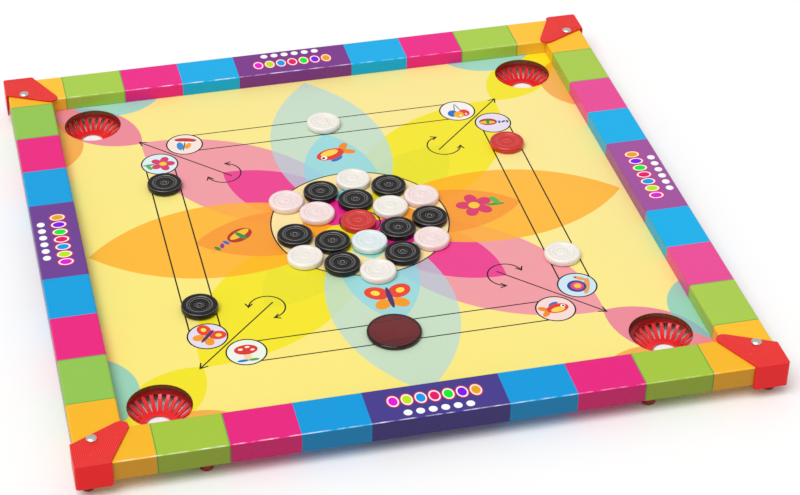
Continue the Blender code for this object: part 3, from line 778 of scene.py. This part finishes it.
def make_caps_and_rivets(corners):
    plastic = ribbed_cap_plastic()
    steel = rolled_steel("nickel_plated_steel", "D8D6CE", 0.26)
    for corner in corners:
        cap = rounded_copy("corner_cap_" + corner, 0.45 * MM)
        keep(cap, "moulded_cap_" + corner, "board", "cap_plastic", plastic, "corner_cap_" + corner)
        low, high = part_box("cap_rivet_" + corner)
        centre, base = middle_of("cap_rivet_" + corner)
        head, top = (high.x - low.x) / 2, high.z - base
        seat = top - 1.9 * MM
        rim = seat + 0.25 * MM
        section = [(1.5 * MM, 0), (1.5 * MM, seat), (head * 0.96, seat)]
        for degrees_up in range(0, 85, 12):
            up = radians(degrees_up)
            section.append((head * cos(up), rim + (top - rim) * sin(up)))
        section.append((0.3 * MM, top))
        rivet = turned_piece(section, centre, base)
        keep(rivet, "domed_rivet_" + corner, "board", "rivet_steel", steel, "cap_rivet_" + corner)


def make_cups(corners):
    # Thin glossy polystyrene, with painted shade up where it hangs under the panel
    plastic = moulded("polystyrene_moulded_bright_red", "FC2A30", "EC1C24", 0.24, tint=painted_lip_shade)
    for corner in corners:
        cup = rounded_copy("pocket_cup_" + corner, 0.35 * MM, segments=2, sharper_than=35)
        keep(cup, "slotted_cup_" + corner, "board", "cup_plastic", plastic, "pocket_cup_" + corner)


def make_feet():
    # Moulded rubber, duller than the plastics and finer in grain. The nails are bare wire.
    rubber = moulded("rubber_moulded_maroon", "A01E28", "801420", 0.45, 0.5 * MM)
    steel = rolled_steel("drawn_wire_nail", "9A9A9C", 0.3)
    for node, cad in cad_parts.items():
        if node.startswith("foot_"):
            foot = rounded_copy(node, 0.4 * MM)
            keep(foot, "rubber_" + node, "board", "foot_rubber", rubber, node)
        elif node.startswith("nail_"):
            for slot in cad.material_slots:
                slot.material = steel


def make_men():
    # Glossy moulded urea resin. Light goes a little way into the white men, so they look milky,
    # and some of them are rosier or cooler than the rest.
    milky = {
        "Subsurface_Weight": 0.7,
        "Subsurface_Radius": (1, 0.9, 0.85),
        "Subsurface_Scale": 3 * MM,
    }
    whites = (
        moulded("urea_moulded_white", "F4EFE8", "ECE6DE", 0.24, **milky),
        moulded("urea_moulded_rosy_white", "F6E4E2", "F0DAD8", 0.24, **milky),
        moulded("urea_moulded_cool_white", "E4EEEE", "DAE7E8", 0.24, **milky),
    )
    rosy = ("white_man_02", "white_man_03", "white_man_05", "white_man_07")
    cool = ("white_man_06",)
    # The black men and the queen carry a painted highlight along their ring shoulders
    black = moulded(
        "urea_moulded_black",
        "171415",
        "0F0D0E",
        0.20,
        tint=painted_ring_highlights("A8A4A2", 0.65),
        Specular_IOR_Level=0.35,
    )
    red = moulded("urea_moulded_red", "D62E28", "C42420", 0.24, tint=painted_ring_highlights("F4A8A0", 0.3))
    section = [(radius * MM, height * MM) for radius, height in MAN_SECTION]
    for node in list(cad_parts):
        if not node.startswith(("black_man", "white_man", "queen")):
            continue
        centre, base = middle_of(node)
        piece = turned_piece(section, centre, base)
        if node.startswith("black"):
            slot, finish = "man_black", black
        elif node.startswith("queen"):
            slot, finish = "man_red", red
        else:
            slot, finish = "man_white", whites[1 if node in rosy else 2 if node in cool else 0]
        keep(piece, "turned_" + node, node, slot, finish, node)


def make_striker():
    section = [(radius * MM, height * MM) for radius, height in STRIKER_SECTION]
    centre, base = middle_of("striker")
    piece = turned_piece(section, centre, base)
    # Clear cast acrylic, tinted maroon: the board's lines show through it, and its rim is darkened
    # by painted shade
    acrylic = moulded(
        "acrylic_cast_maroon",
        "CC5058",
        "C44A52",
        0.08,
        tint=painted_rim_shade(centre),
        Transmission_Weight=0.9,
    )
    keep(piece, "cast_striker", "striker", "striker_acrylic", acrylic, "striker")


# ---------------------------------------------------------------- the studio


def make_studio():
    deselect()
    bpy.ops.mesh.primitive_plane_add(size=12, location=(0, 0, 0))
    floor = bpy.context.object
    floor.name = "floor"
    floor.data.materials.append(painted_floor())
    # One broad soft light, high up on the left, as even over the floor as over the board
    light = bpy.data.lights.new("broad_light", "SUN")
    light.energy = 1.95
    light.angle = radians(45)
    lamp = bpy.data.objects.new("broad_light", light)
    lamp.rotation_euler = Vector((-0.38, -0.32, 1)).to_track_quat("Z", "Y").to_euler()
    bpy.context.scene.collection.objects.link(lamp)
    world = bpy.data.worlds.new("pale_room")
    world.use_nodes = True
    background = world.node_tree.nodes["Background"]
    background.inputs["Color"].default_value = linear("FFFFFF")
    background.inputs["Strength"].default_value = 0.5
    bpy.context.scene.world = world
    bpy.context.scene.view_settings.view_transform = "Standard"


def make_camera():
    """A long lens from the front, a little left of the board's middle and above it."""
    heading, tilt, roll = radians(-12.023), radians(54.2), radians(-0.4665)
    camera = bpy.data.cameras.new("camera")
    camera.lens = 97.438
    camera.shift_x = 0.0858
    camera.dof.use_dof = False
    holder = bpy.data.objects.new("camera", camera)
    turn = Matrix.Rotation(heading, 4, "Z") @ Matrix.Rotation(tilt, 4, "X")
    turn = turn @ Matrix.Rotation(roll, 4, "Z")
    holder.matrix_world = Matrix.Translation((-0.31325, -1.36161, 0.99984)) @ turn
    bpy.context.scene.collection.objects.link(holder)
    bpy.context.scene.camera = holder


CORNERS = ("front_left", "front_right", "back_right", "back_left")
make_camera()
make_studio()
make_panel()
make_rails()
make_caps_and_rivets(CORNERS)
make_cups(CORNERS)
make_feet()
make_men()
make_striker()
